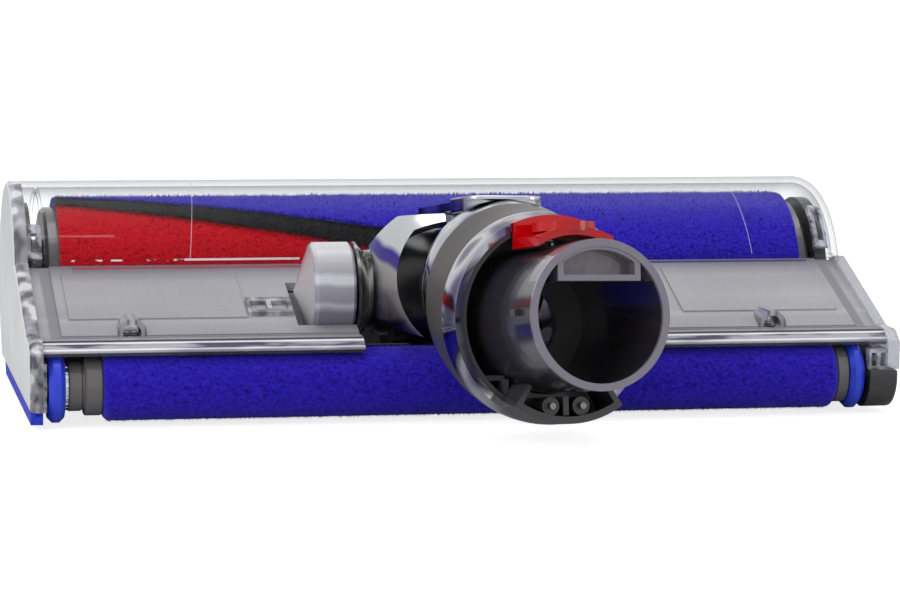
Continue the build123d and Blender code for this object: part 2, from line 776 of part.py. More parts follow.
def tongue():
    """Arm from the collar's top over the ball to the eye on the steering pin."""
    low, high = tongue_height, tongue_height + tongue_thickness
    middle = (low + high) / 2
    reach = collar_front + 1.0
    arm = Pos(0, middle, reach / 2) * Box(2 * tongue_half_width, tongue_thickness, reach)
    arm += Pos(0, middle, 0) * Rot(90, 0, 0) * Cylinder(tongue_eye_radius, tongue_thickness)
    length = collar_front + 2.0 - tongue_skin_start
    skin = Cylinder(tongue_skin_radius, length) - Cylinder(tongue_skin_radius - 2.2, length + 1)
    skin &= Pos(0, 40, 0) * Box(2 * tongue_skin_half_width, 60, length)
    arm += Pos(0, high - tongue_skin_radius, tongue_skin_start + length / 2) * skin
    arm -= collar_body(collar_wall)
    return arm - Pos(0, middle, 0) * Rot(90, 0, 0) * Cylinder(steer_pin_radius + shaft_clearance, 20)


def steer_cap():
    """Flat lozenge cap on the tongue, with a rim and a sunk top."""
    high = tongue_height + tongue_thickness
    base = Plane(origin=(0, high - 4, cap_reach), x_dir=(1, 0, 0), z_dir=(0, 1, 0))
    cap = extrude(base * RectangleRounded(cap_width, cap_length, 6.0), cap_height + 4)
    cap = fillet(cap.faces().sort_by(Axis.Y)[-1].edges(), 0.5)
    cap -= extrude(base.offset(cap_height + 3.5) * RectangleRounded(cap_width - 3, cap_length - 3, 4.8), 5)
    cap -= Pos(0, high - tongue_skin_radius, 30) * Cylinder(tongue_skin_radius, 60)
    cap -= Pos(0, high / 2, 0) * Box(2 * tongue_half_width, high, 80)
    return cap - collar_body(0)


def collar_band():
    """Matte grey band around the middle of the collar."""
    band = collar_skin(band_start, band_end)
    for cut in roller_sweep():
        band -= cut
    return band


def collar_rear_ring():
    """Glossy rear ring that ends in the rim, open at the top for the button."""
    ring = collar_skin(band_end, collar_rim)
    return ring - button_window()


def wand_axis(start, end, radius):
    return Pos(0, -wand_drop, (start + end) / 2) * Cylinder(radius, end - start)


def collar_liner():
    """Dark inner moulding: bulkhead with the throat, web ribs and the lower shelf."""
    inside = collar_body(collar_wall)
    bulkhead = inside & slab(wand_root - 2.4, wand_root)
    bulkhead -= wand_axis(0, 100, throat_radius)
    skirt = (inside - collar_body(collar_wall + liner_wall)) & slab(wand_root, collar_rim - 0.6)
    tube_room = wand_axis(0, 120, wand_radius)
    webs = []
    for sign in (-1, 1):
        edge = [(sign * 30, wand_root), (sign * 14, wand_root), (sign * 14, wand_root + 5),
                (sign * (wand_radius + 0.5), wand_root + 6), (sign * 26, collar_rim - 1),
                (sign * 30, collar_rim - 1)]
        plate = Plane(origin=(0, -wand_drop + 1.6, 0), x_dir=(1, 0, 0), z_dir=(0, -1, 0)) \
            * make_face(Polyline(*[(x, -z) for x, z in edge], close=True))
        webs.append(mirror(extrude(plate, 1.5), Plane.XY))
        shelf = Pos(sign * 19, -wand_drop - 15.6, (wand_root + collar_rim) / 2 - 1) \
            * Box(12, 1.4, collar_rim - wand_root - 4)
        post = Pos(sign * 13.5, -wand_drop - 24, (wand_root + collar_rim) / 2) \
            * Box(1.4, 16, collar_rim - wand_root - 2)
        webs += [shelf, post]
    body = bulkhead + skirt
    for web in webs:
        body += (web & inside & slab(wand_root - 1, collar_rim + 4)) - tube_room
    body -= button_window()
    body -= connector_room()
    return body


def connector_room():
    """Arc-shaped space of the connector under the wand tube."""
    return arc_sector(wand_radius, 60, connector_half_angle, wand_root + 8, 120)


def arc_sector(inner, outer, half_angle, start, end):
    """Ring sector around the wand's axis, centred straight down."""
    ring = wand_axis(start, end, outer) - wand_axis(start - 1, end + 1, inner)
    a = radians(half_angle)
    far = 120.0
    face = make_face(Polyline((0, 0), (far * sin(a), -far * cos(a)), (-far * sin(a), -far * cos(a)),
                              close=True))
    cut = extrude(Pos(0, -wand_drop, start - 1) * face, end - start + 2)
    return ring & cut


def wand_tube():
    """Wand socket: thin tube with the key pocket inside its mouth and side nubs."""
    tube = wand_axis(wand_root, wand_mouth - wand_land, wand_radius - wand_land_step)
    tube += wand_axis(wand_mouth - wand_land, wand_mouth, wand_radius)
    tube -= wand_axis(wand_root - 1, wand_mouth + 1, wand_radius - wand_wall)
    bar_y = -wand_drop + wand_radius - wand_wall - pocket_drop
    pocket_zone = wand_axis(wand_mouth - pocket_depth, wand_mouth - 0.4, wand_radius - wand_wall)
    outer = pocket_zone & Pos(0, bar_y + 10 - pocket_wall, wand_mouth - pocket_depth / 2) \
        * Box(2 * pocket_half_width, 20, pocket_depth)
    inner = wand_axis(wand_mouth - pocket_recess, wand_mouth + 1,
                      wand_radius - wand_wall - 0.9) \
        & Pos(0, bar_y + 10, wand_mouth) \
        * Box(2 * (pocket_half_width - pocket_wall), 20, 2 * pocket_recess)
    tube += outer - inner
    for sign in (-1, 1):
        nub = Pos(sign * (wand_radius + nub_length / 2 - 0.3), -wand_drop + 1.0, wand_mouth - 9) \
            * Box(nub_length + 0.6, 2 * nub_radius, 3)
        tube += nub
    return tube


def contact_height():
    """Height of the contacts, below the wand tube."""
    return -wand_drop - wand_radius - 3.4


def connector_block():
    """Black block under the tube with a centre web and two contact holders."""
    inside = collar_body(collar_wall)
    block = arc_sector(wand_radius, 60, connector_half_angle - 3, wand_root + 8.5, collar_rim - 4) & inside
    y = contact_height()
    start = collar_rim - 5.0
    middle, length = (start + connector_end) / 2, connector_end - start
    block += Pos(0, y, middle) * Box(1.6, 5.0, length)
    block -= wand_axis(0, 120, wand_radius)
    holder = Cylinder(contact_holder_radius, length)
    for sign in (-1, 1):
        block += Pos(sign * contact_spacing / 2, y, middle) * holder
    return block


def connector_tray():
    """Lip that carries on the collar's rim under the connector, with a wall at each side."""
    outer = collar_rim_radius
    start, end = collar_rim, connector_end + 2
    tray = arc_sector(wand_radius + connector_gap, outer, connector_half_angle, start, end)
    return tray - arc_sector(wand_radius, outer - collar_wall, connector_half_angle - 3.6,
                             start - 1, end + 1)


def contact_pins():
    """Two plated contact pins on the holders' ends."""
    start, end = connector_end, connector_end + contact_pin_length
    pin = Pos(0, contact_height(), (start + end) / 2) * Cylinder(contact_pin_radius, end - start)
    return Compound([Pos(sign * contact_spacing / 2, 0, 0) * pin for sign in (-1, 1)])


# Release button

def release_button():
    """Red lever: a top wall flush with the collar, a front face and the thumb pad."""
    outer = wand_axis(button_start, button_face, collar_rim_radius)
    inner = wand_axis(button_start - 1, button_face - 2.0, collar_rim_radius - 2.2)
    half = button_half_width
    top = (outer - inner) & Pos(0, 30, 80) * Box(2 * half, 60, 60)
    pad_low = wand_radius + button_clearance + button_travel
    top = top - wand_axis(0, 120, pad_low)
    pad = wand_axis(button_face - 2, button_tip, pad_low + button_pad_thickness) \
        - wand_axis(0, 120, pad_low)
    pad &= Pos(0, 30 - wand_drop, 80) * Box(2 * half, 60, 60)
    grip = Pos(0, -wand_drop + pad_low + button_pad_thickness + 0.3,
               button_tip - button_grip_radius + 0.4) * Rot(90, 0, 0) \
        * Cylinder(button_grip_radius, 2.6)
    grip -= wand_axis(0, 120, pad_low)
    return top + pad + grip


def button_spring():
    """Coil spring that stands on the tube below the button's top wall."""
    height = collar_rim_radius - 2.2 - wand_radius - button_travel - 1.2
    coil = Helix(pitch=height / button_spring_turns, height=height, radius=button_spring_radius)
    wire = sweep(Plane(origin=coil @ 0, z_dir=coil % 0) * Circle(button_spring_wire), path=coil)
    return Pos(0, -wand_drop + wand_radius + button_spring_wire + 0.1, button_start + 3.6) \
        * Rot(-90, 0, 0) * wire


# Rollers

def ring_sector(x, start, end, inner, outer):
    """Ring sector in the side view at one x, between two angles."""
    outer_arc = [arc_point(0, 0, outer, start), arc_point(0, 0, outer, (start + end) / 2),
                 arc_point(0, 0, outer, end)]
    inner_arc = [arc_point(0, 0, inner, end), arc_point(0, 0, inner, (start + end) / 2),
                 arc_point(0, 0, inner, start)]
    loop = [ThreePointArc(*outer_arc), Line(outer_arc[2], inner_arc[0]),
            ThreePointArc(*inner_arc), Line(inner_arc[2], outer_arc[0])]
    return Plane.YZ.offset(x) * make_face(loop)


def pile_piece(start, end):
    """Plush piece that winds along the front roller, from one angle to another."""
    steps = 5
    faces = []
    for i in range(steps):
        x = front_pile_left + (front_pile_right - front_pile_left) * i / (steps - 1)
        turn = strip_twist_per_mm * x
        faces.append(ring_sector(x, start + turn, end + turn, front_core_radius, front_pile_radius))
    return Pos(0, front_axle_y, front_axle_z) * loft(faces)


def strip_edges():
    """Angles at x = 0 where the two dark strips start and end."""
    first = (strip_angle_at_middle - strip_half_angle, strip_angle_at_middle + strip_half_angle)
    second = (first[1] + red_angle, first[1] + red_angle + 2 * strip_half_angle)
    return first, second


def carbon_strips():
    first, second = strip_edges()
    return Compound([pile_piece(*first).solid(), pile_piece(*second).solid()])


def red_pile():
    first, second = strip_edges()
    return pile_piece(first[1], second[0])


def blue_pile():
    first, second = strip_edges()
    return pile_piece(second[1], first[0] + 360)


def front_core():
    """Plastic tube that the plush is bonded to."""
    return tube_x(front_core_radius, front_core_radius - front_core_wall, front_pile_left,
                  front_pile_right, front_axle_y, front_axle_z)


def drive_dog():
    """Toothed disc on the motor shaft that drives the tube from inside."""
    x0 = motor_left + motor_length + 5
    disc = tube_x(front_core_radius - front_core_wall, 2.0 + shaft_clearance, x0, x0 + 6,
                  front_axle_y, front_axle_z)
    for i in range(6):
        y, z = arc_point(front_axle_y, front_axle_z, 12.0, 60 * i)
        disc -= rod_x(3.0, x0 - 1, x0 + 7, y, z)
    return disc


def left_roller_ring():
    """Grey end ring of the roller at the drive side."""
    x0, x1 = front_pile_left - front_ring_width, front_pile_left
    ring = turned([(x0, motor_radius + 2.4), (x0, front_ring_radius - 1), (x0 + 1, front_ring_radius),
                   (x1, front_ring_radius), (x1, motor_radius + 2.4)], front_axle_y, front_axle_z)
    return ring


def right_roller_ring():
    """Grey end plug of the roller with the bore for the spindle."""
    x0, x1 = front_pile_right, front_pile_right + front_ring_width
    return turned([(x0 - 12, 6.0 + shaft_clearance), (x0 - 12, front_core_radius - front_core_wall),
                   (x0, front_core_radius - front_core_wall), (x0, front_ring_radius),
                   (x1 - 1, front_ring_radius), (x1, front_ring_radius - 1),
                   (x1, 6.0 + shaft_clearance)], front_axle_y, front_axle_z)


def rear_part(outer, x0, x1, inner, bevel=0.0):
    """Turned piece of the rear roller."""
    if bevel:
        return turned([(x0, inner), (x0, outer - bevel), (x0 + bevel, outer), (x1 - bevel, outer),
                       (x1, outer - bevel), (x1, inner)], 0, rear_axle_z)
    return tube_x(outer, inner, x0, x1, 0, rear_axle_z)


def rear_pile():
    """Plush sleeve with rounded ends."""
    sleeve = tube_x(rear_pile_radius, rear_core_radius, rear_pile_left, rear_pile_right, 0, rear_axle_z)
    rims = [e for e in sleeve.edges().filter_by(GeomType.CIRCLE) if abs(e.radius - rear_pile_radius) < 0.01]
    return fillet(rims, 2.4)


def rear_core():
    """Tube of the rear roller, turning on the fixed axle."""
    x0 = rear_left_wheel_start()
    return tube_x(rear_core_radius, rear_axle_radius + shaft_clearance, rear_pile_left - rear_collar_width
                  - rear_groove_width, rear_right_wheel_end() - rear_wheel_width, 0, rear_axle_z)


def left_collar():
    return rear_part(rear_collar_radius, rear_pile_left - rear_collar_width, rear_pile_left,
                     rear_core_radius, 0.4)


def left_sleeve():
    x1 = rear_pile_left - rear_collar_width - rear_groove_width
    return rear_part(rear_sleeve_radius, x1 - rear_sleeve_width, x1, rear_axle_radius + shaft_clearance,
                     0.3)


def tooth_ring():
    """Thin ring with teeth between the sleeve and the left wheel."""
    x1 = rear_pile_left - rear_collar_width - rear_groove_width - rear_sleeve_width
    ring = tube_x(rear_sleeve_radius - 0.9, rear_axle_radius + shaft_clearance, x1 - rear_tooth_width,
                  x1, 0, rear_axle_z)
    count = 16
    for i in range(count):
        y, z = arc_point(0, rear_axle_z, rear_sleeve_radius - 0.8, 360 * i / count)
        ring -= rod_x(0.5, x1 - rear_tooth_width - 1, x1 + 1, y, z)
    return ring


def left_ring_wheel():
    x0 = rear_left_wheel_start()
    return rear_part(rear_wheel_radius, x0, x0 + rear_wheel_width, rear_axle_radius + shaft_clearance, 1.3)


def right_ring_wheel():
    x0 = rear_pile_right + rear_right_collar_width
    w, b = rear_wheel_width, 1.2
    inner = rear_axle_radius + shaft_clearance
    return turned([(x0, inner), (x0, rear_wheel_radius - b), (x0 + b, rear_wheel_radius),
                   (x0 + w - b - 0.6, rear_wheel_radius), (x0 + w - 0.6, rear_wheel_radius - b),
                   (x0 + w, rear_wheel_radius - 2 * b), (x0 + w, inner)], 0, rear_axle_z)


def right_collar():
    return rear_part(rear_collar_radius, rear_pile_right, rear_pile_right + rear_right_collar_width,
                     rear_core_radius, 0.4)


# Assembly

def placed(shape):
    """Moves a piece built on the wand's axis to its resting place."""
    return collar_frame().location * shape


parts = {
    "front_cover": front_cover(),
    "frosted_deck": frosted_deck(),
    "screw_bosses": screw_bosses(),
    "deck_screws": deck_screws(),
    "deck_clip": deck_clip(),
    "rear_rail": rear_rail(),
    "chassis": chassis(),
    "left_end_plate": left_end_plate(),
    "right_end_plate": right_end_plate(),
    "main_end_cap": main_end_cap(),
    "left_end_housing": left_end_housing(),
    "right_end_housing": right_end_housing(),
    "rear_end_cap": rear_end_cap(),
    "rear_axle": rear_axle(),
    "left_felt_seal": left_felt_seal(),
    "right_felt_seal": right_felt_seal(),
    "left_drive_housing": left_drive_housing(),
    "motor_mount": motor_mount(),
    "brush_motor": brush_motor(),
    "right_bearing_block": right_bearing_block(),
    "left_cover_clip": left_cover_clip(),
    "right_cover_clip": right_cover_clip(),
    "left_pivot_cover": pivot_cover(-1),
    "right_pivot_cover": pivot_cover(1),
    "left_pivot_bush": pivot_bush(-1),
    "right_pivot_bush": pivot_bush(1),
    "left_hub": hub(-1),
    "right_hub": hub(1),
    "neck_shell": neck_shell(),
    "neck_duct": neck_duct(),
    "steer_pin": steer_pin(),
    "collar_front_ring": placed(collar_front_ring()),
    "steer_cap": placed(steer_cap()),
    "collar_band": placed(collar_band()),
    "collar_rear_ring": placed(collar_rear_ring()),
    "collar_liner": placed(collar_liner()),
    "wand_tube": placed(wand_tube()),
    "connector_block": placed(connector_block()),
    "connector_tray": placed(connector_tray()),
    "contact_pins": placed(contact_pins()),
    "release_button": placed(release_button()),
    "button_spring": placed(button_spring()),
    "front_core": front_core(),
    "drive_dog": drive_dog(),
    "left_roller_ring": left_roller_ring(),
    "right_roller_ring": right_roller_ring(),
    "blue_pile": blue_pile(),
    "red_pile": red_pile(),
    "carbon_strips": carbon_strips(),
    "rear_core": rear_core(),
    "rear_pile": rear_pile(),
    "left_collar": left_collar(),
    "left_sleeve": left_sleeve(),
    "tooth_ring": tooth_ring(),
    "left_ring_wheel": left_ring_wheel(),
    "right_ring_wheel": right_ring_wheel(),
    "right_collar": right_collar(),
}

os.makedirs("parts", exist_ok=True)
boxes = [shape.bounding_box() for shape in parts.values()]
front_end = max(box.max.Y for box in boxes)
rear_end = min(box.min.Y for box in boxes)
origin_y = (front_end + rear_end) / 2
for name, shape in parts.items():
    export_step(Pos(0, -origin_y, 0) * shape, f"parts/{name}.step")
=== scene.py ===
import math
import bpy
import numpy as np
from mathutils import Matrix, Vector


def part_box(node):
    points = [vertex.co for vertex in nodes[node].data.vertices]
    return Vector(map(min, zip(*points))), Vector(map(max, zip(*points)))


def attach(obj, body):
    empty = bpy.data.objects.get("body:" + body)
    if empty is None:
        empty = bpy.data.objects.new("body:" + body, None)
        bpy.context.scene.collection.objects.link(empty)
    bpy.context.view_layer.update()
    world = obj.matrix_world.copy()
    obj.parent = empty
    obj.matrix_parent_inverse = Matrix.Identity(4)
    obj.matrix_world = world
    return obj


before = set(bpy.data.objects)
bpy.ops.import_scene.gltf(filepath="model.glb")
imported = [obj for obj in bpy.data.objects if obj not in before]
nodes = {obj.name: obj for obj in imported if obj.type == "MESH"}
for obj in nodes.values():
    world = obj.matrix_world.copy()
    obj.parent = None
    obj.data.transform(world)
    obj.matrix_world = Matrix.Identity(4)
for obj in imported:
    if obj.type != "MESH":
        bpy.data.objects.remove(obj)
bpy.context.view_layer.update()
axle_low, axle_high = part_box("rear_axle")
rear_y = (axle_low.y + axle_high.y) / 2
rng = np.random.default_rng(7)

# Lengths are in metres in the shared frame, and in mm inside materials
MM = 1000


def lin(r, g, b):
    """Linear colour from 0-255 display values."""
    out = []
    for v in (r, g, b):
        c = v / 255
        out.append(c / 12.92 if c <= 0.04045 else ((c + 0.055) / 1.055) ** 2.4)
    return (*out, 1.0)


def math_node(tree, operation, a, b):
    """Result of one math node in a tree; a and b are sockets or constants."""
    n = tree.nodes.new("ShaderNodeMath")
    n.operation = operation
    for value, socket in ((a, n.inputs[0]), (b, n.inputs[1])):
        if isinstance(value, float):
            socket.default_value = value
        else:
            tree.links.new(value, socket)
    return n.outputs["Value"]


class Mat:
    """A node material with its principled shader, and helpers for real-scale detail."""

    def __init__(self, name, color, rough=0.4, metal=0.0, **sockets):
        self.m = bpy.data.materials.new(name)
        self.m.use_nodes = True
        self.t = self.m.node_tree
        self.b = self.t.nodes["Principled BSDF"]
        self.out = self.t.nodes["Material Output"]
        self.b.inputs["Base Color"].default_value = color
        self.b.inputs["Roughness"].default_value = rough
        self.b.inputs["Metallic"].default_value = metal
        for key, value in sockets.items():
            self.b.inputs[key.replace("_", " ")].default_value = value
        self.coord = self.t.nodes.new("ShaderNodeTexCoord")
        self.normal = None

    def new(self, kind, **props):
        n = self.t.nodes.new(kind)
        for key, value in props.items():
            setattr(n, key, value)
        return n

    def link(self, a, b):
        self.t.links.new(a, b)

    def set(self, socket, value):
        """A constant or another socket as the input of a socket."""
        if isinstance(value, (float, tuple)):
            socket.default_value = value
        else:
            self.link(value, socket)

    def noise(self, size_mm, detail=3.0, stretch=(1, 1, 1)):
        """Noise whose features are about size_mm across."""
        mapping = self.new("ShaderNodeMapping")
        k = MM / size_mm
        mapping.inputs["Scale"].default_value = (k * stretch[0], k * stretch[1], k * stretch[2])
        self.link(self.coord.outputs["Object"], mapping.inputs["Vector"])
        n = self.new("ShaderNodeTexNoise")
        n.inputs["Scale"].default_value = 1.0
        n.inputs["Detail"].default_value = detail
        self.link(mapping.outputs["Vector"], n.inputs["Vector"])
        return n.outputs["Fac"]

    def ramp(self, fac, stops):
        """Colour of fac on a ramp of (position, colour) stops."""
        r = self.new("ShaderNodeValToRGB")
        while len(r.color_ramp.elements) < len(stops):
            r.color_ramp.elements.new(0.5)
        for e, (pos, col) in zip(r.color_ramp.elements, stops):
            e.position = pos
            e.color = col
        self.link(fac, r.inputs["Fac"])
        return r.outputs["Color"]

    def color(self, fac, stops):
        """Base colour from a ramp."""
        self.link(self.ramp(fac, stops), self.b.inputs["Base Color"])

    def rough(self, fac, low, high):
        """Roughness from low to high over fac."""
        v = self.new("ShaderNodeMapRange")
        v.inputs["To Min"].default_value = low
        v.inputs["To Max"].default_value = high
        self.link(fac, v.inputs["Value"])
        self.link(v.outputs["Result"], self.b.inputs["Roughness"])

    def bump(self, fac, height_mm, strength=0.5):
        """Fine relief over the relief that is there already."""
        n = self.new("ShaderNodeBump")
        n.inputs["Strength"].default_value = strength
        n.inputs["Distance"].default_value = height_mm / MM
        self.link(fac, n.inputs["Height"])
        if self.normal:
            self.link(self.normal, n.inputs["Normal"])
        self.normal = n.outputs["Normal"]
        self.link(self.normal, self.b.inputs["Normal"])

    def along(self, axis, origin=(0.0, 0.0, 0.0)):
        """Distance in mm along an axis from a point that is given in metres."""
        shift = self.new("ShaderNodeVectorMath", operation="SUBTRACT")
        shift.inputs[1].default_value = origin
        self.link(self.coord.outputs["Object"], shift.inputs[0])
        dot = self.new("ShaderNodeVectorMath", operation="DOT_PRODUCT")
        dot.inputs[1].default_value = tuple(v * MM for v in axis)
        self.link(shift.outputs["Vector"], dot.inputs[0])
        return dot.outputs["Value"]

    def span(self, value, low, high, to_low=0.0, to_high=1.0):
        """Value mapped from low..high to to_low..to_high and clamped."""
        v = self.new("ShaderNodeMapRange")
        v.inputs["From Min"].default_value = low
        v.inputs["From Max"].default_value = high
        v.inputs["To Min"].default_value = to_low
        v.inputs["To Max"].default_value = to_high
        self.link(value, v.inputs["Value"])
        return v.outputs["Result"]

    def math(self, operation, a, b):
        """Result of one math node; a and b are sockets or constants."""
        return math_node(self.t, operation, a, b)

    def magnitude(self, value):
        """Value without its sign."""
        n = self.new("ShaderNodeMath", operation="ABSOLUTE")
        self.link(value, n.inputs[0])
        return n.outputs["Value"]

    def blend(self, fac, a, b):
        """Colour a where fac is 0 and b where it is 1; both are sockets or colours."""
        n = self.new("ShaderNodeMix", data_type="RGBA")
        self.link(fac, n.inputs["Factor"])
        for value, socket in ((a, n.inputs[6]), (b, n.inputs[7])):
            if isinstance(value, tuple):
                socket.default_value = value
            else:
                self.link(value, socket)
        return n.outputs[2]

    def clear(self, tint, haze_color, haze, gloss_rough=0.05, boost=1.0, base=0.02, edge=0.0):
        """Thin clear plastic: sharp reflection edge-on, greyer edge-on by edge, a little haze."""
        transparent = self.new("ShaderNodeBsdfTransparent")
        glossy = self.new("ShaderNodeBsdfGlossy")
        glossy.inputs["Roughness"].default_value = gloss_rough
        diffuse = self.new("ShaderNodeBsdfDiffuse")
        self.set(diffuse.inputs["Color"], haze_color)
        weight = self.new("ShaderNodeLayerWeight")
        weight.inputs["Blend"].default_value = 0.5
        steep = self.math("POWER", weight.outputs["Facing"], 5.0)
        gain = self.new("ShaderNodeMath", operation="MULTIPLY_ADD", use_clamp=True)
        gain.inputs[1].default_value = 0.9 * boost
        gain.inputs[2].default_value = base * boost
        self.link(steep, gain.inputs[0])
        if edge:
            grazing = self.math("MULTIPLY", self.math("POWER", weight.outputs["Facing"], 2.5), edge)
            tint = self.blend(grazing, tint, (0.30, 0.31, 0.35, 1))
        self.set(transparent.inputs["Color"], tint)
        body = self.new("ShaderNodeMixShader")
        self.set(body.inputs["Fac"], haze)
        self.link(transparent.outputs["BSDF"], body.inputs[1])
        self.link(diffuse.outputs["BSDF"], body.inputs[2])
        mix = self.new("ShaderNodeMixShader")
        self.link(gain.outputs["Value"], mix.inputs["Fac"])
        self.link(body.outputs["Shader"], mix.inputs[1])
        self.link(glossy.outputs["BSDF"], mix.inputs[2])
        if self.normal:
            self.link(self.normal, glossy.inputs["Normal"])
        self.link(mix.outputs["Shader"], self.out.inputs["Surface"])


def plush(name, low, mid, high, clump=0.9):
    """Matt fabric with painted shade in the darker gaps between its tufts, clump mm apart."""
    m = Mat(name, mid, rough=0.9, Sheen_Weight=0.15, Specular_IOR_Level=0.1)
    tufts = m.noise(clump, 4.0, (0.8, 1, 1))
    # Painted shade: where the tufts' bump sinks, the colour is darker
    m.color(tufts, [(0.30, low), (0.42, mid), (0.80, high)])
    m.bump(tufts, 0.25, 0.5)
    m.bump(m.noise(0.4, 2.0), 0.15, 0.6)
    return m.m


def plastic(name, color, rough=0.4, grain=0.35, height=0.03, vary=0.06, **kw):
    """Moulded plastic: one colour that varies a little, with a fine grain in mm."""
    m = Mat(name, color, rough=rough, **kw)
    dark = tuple(c * (1 - vary) for c in color[:3]) + (1.0,)
    light = tuple(min(1.0, c * (1 + vary)) for c in color[:3]) + (1.0,)
    m.color(m.noise(14.0, 4.0), [(0.3, dark), (0.7, light)])
    m.bump(m.noise(grain, 2.0), height, 0.4)
    return m.m


def clear(name, tint, haze_color, haze, boost=1.0, base=0.02, edge=0.0):
    """Plain clear sheet with a slight wave."""
    m = Mat(name, tint, rough=0.05)
    m.bump(m.noise(30.0, 1.0), 0.2, 0.15)
    m.clear(tint, haze_color, haze, 0.05, boost, base, edge)
    return m.m


def moulded(name, size, low, mid, high, haze, boost=1.2, stretch=(1, 1, 1), wave=0.12):
    """Clear moulded plastic whose ribs and edges show as painted highlights and painted shade: pale
    and dark streaks.
    """
    m = Mat(name, mid, rough=0.05)
    streak = m.noise(size, 1.5, stretch)
    m.bump(streak, wave, 0.5)
    # Painted highlights and painted shade as pale and dark streaks in the colour
    shade = m.ramp(streak, [(0.34, low), (0.43, mid), (0.54, mid), (0.64, high)])
    cloudy = m.span(streak, 0.40, 0.62, haze * 0.75, min(1.0, haze * 1.5))
    m.clear(shade, shade, cloudy, 0.06, boost)
    return m.m


def frosted(name, low, mid, high, rear_z, front_z, strip_x):
    """Frosted plastic with a painted highlight as a pale line low on its slope, and a dark strip at
    each end.

    It has painted shade under the front step. Heights and strip_x are in metres.
    """
    m = Mat(name, mid, rough=0.42, Specular_IOR_Level=0.4)
    cloud = m.noise(45.0, 2.0, (0.4, 1, 1))
    grain = m.noise(0.45, 2.0)
    both = m.math("ADD", m.math("MULTIPLY", grain, 0.3), m.math("MULTIPLY", cloud, 0.7))
    plain = m.ramp(both, [(0.34, low), (0.5, mid), (0.66, high)])
    # Painted light by height: a painted highlight as the pale line low on the slope, and painted
    # shade under the front step
    climb = m.along((0, 0, 1), (0, 0, rear_z))
    shade = m.ramp(m.span(climb, 0.0, (front_z - rear_z) * MM), [
        (0.0, lin(222, 222, 228)), (0.25, lin(232, 232, 235)), (0.31, lin(250, 255, 255)),
        (0.37, lin(238, 238, 240)), (0.55, lin(251, 251, 251)), (0.80, lin(240, 240, 242)),
        (0.93, lin(196, 194, 204)), (1.0, lin(150, 142, 158))])
    tone = m.new("ShaderNodeMix", data_type="RGBA", blend_type="MULTIPLY")
    tone.inputs["Factor"].default_value = 1.0
    m.link(plain, tone.inputs[6])
    m.link(shade, tone.inputs[7])
    far = m.magnitude(m.along((1, 0, 0)))
    away = m.magnitude(m.math("SUBTRACT", far, strip_x * MM))
    edge = m.span(away, 1.2, 1.9, 0.8, 0.0)
    m.link(m.blend(edge, tone.outputs[2], lin(112, 110, 120)), m.b.inputs["Base Color"])
    m.rough(grain, 0.32, 0.5)
    m.bump(m.noise(0.4, 2.0), 0.03, 0.3)
    return m.m


# Reflections of a dark and violet surrounding in a mirror skin
mirror_streaks = [(0.32, lin(48, 45, 60)), (0.41, lin(104, 98, 134)), (0.47, lin(160, 162, 169)),
                  (0.56, lin(190, 192, 196)), (0.62, lin(124, 122, 136)), (0.69, lin(62, 60, 76))]


def metallized(name, stretch):
    """Bright metal skin on plastic, with dark and violet streaks of painted reflection in its
    colour.
    """
    m = Mat(name, lin(176, 177, 182), rough=0.08, metal=1.0)
    # Painted reflections in the base colour
    m.color(m.noise(16.0, 1.0, stretch), mirror_streaks)
    m.bump(m.noise(16.0, 1.0), 0.5, 0.25)
    m.bump(m.noise(0.8, 2.0), 0.003, 0.2)
    return m.m


def ringed(name, stretch, start, end):
    """Metallized skin with painted reflections, and a dark matt belt from start to end mm along the
    wand's axis.
    """
    m = Mat(name, lin(176, 177, 182), rough=0.08, metal=1.0)
    streak = m.noise(13.0, 1.0, stretch)
    # Painted reflections in the skin's colour
    skin = m.ramp(streak, mirror_streaks)
    out = m.along(wand_axis, tuple(pivot))
    begun, not_ended = m.span(out, start, start + 0.1), m.span(out, end, end + 0.1, 1.0, 0.0)
    belt = m.math("MULTIPLY", begun, not_ended)
    m.link(m.blend(belt, skin, lin(70, 67, 66)), m.b.inputs["Base Color"])
    m.link(m.span(belt, 0.0, 1.0, 1.0, 0.0), m.b.inputs["Metallic"])
    m.link(m.span(belt, 0.0, 1.0, 0.08, 0.34), m.b.inputs["Roughness"])
    m.b.inputs["Specular IOR Level"].default_value = 0.2
    m.bump(m.noise(16.0, 1.0), 0.5, 0.25)
    m.bump(m.noise(0.8, 2.0), 0.003, 0.2)
    return m.m


def hub_drum(name, low_z, high_z, cone_x):
    """Milky drum painted by height, with a painted highlight as a bright belt and painted shade as
    a violet grey foot, and a plain cone beyond cone_x.
    """
    m = Mat(name, lin(190, 190, 196), rough=0.25)
    climb = m.span(m.along((0, 0, 1), (0, 0, low_z)), 0.0, (high_z - low_z) * MM)
    ripple = m.span(m.noise(6.0, 2.0, (1, 0.3, 0.3)), 0.3, 0.7, -0.012, 0.012)
    # Painted light by height: a bright belt of painted highlight, and a violet grey foot of painted
    # shade
    painted_light_bands = m.ramp(m.math("ADD", climb, ripple), [
        (0.12, lin(146, 141, 160)), (0.33, lin(152, 148, 166)), (0.36, lin(176, 174, 188)),
        (0.41, lin(218, 217, 228)), (0.45, lin(170, 168, 182)), (0.59, lin(178, 176, 190)),
        (0.64, lin(236, 236, 246)), (0.69, lin(232, 232, 242)), (0.74, lin(186, 185, 194)),
        (0.88, lin(202, 201, 208)), (0.93, lin(226, 226, 231))])
    far = m.magnitude(m.along((1, 0, 0)))
    tone = m.blend(m.span(far, cone_x * MM - 0.2, cone_x * MM + 0.2), painted_light_bands, lin(204, 203, 207))
    m.bump(m.noise(12.0, 1.0), 0.2, 0.2)
    m.clear(tone, tone, 0.86, 0.1, 1.3)
    return m.m


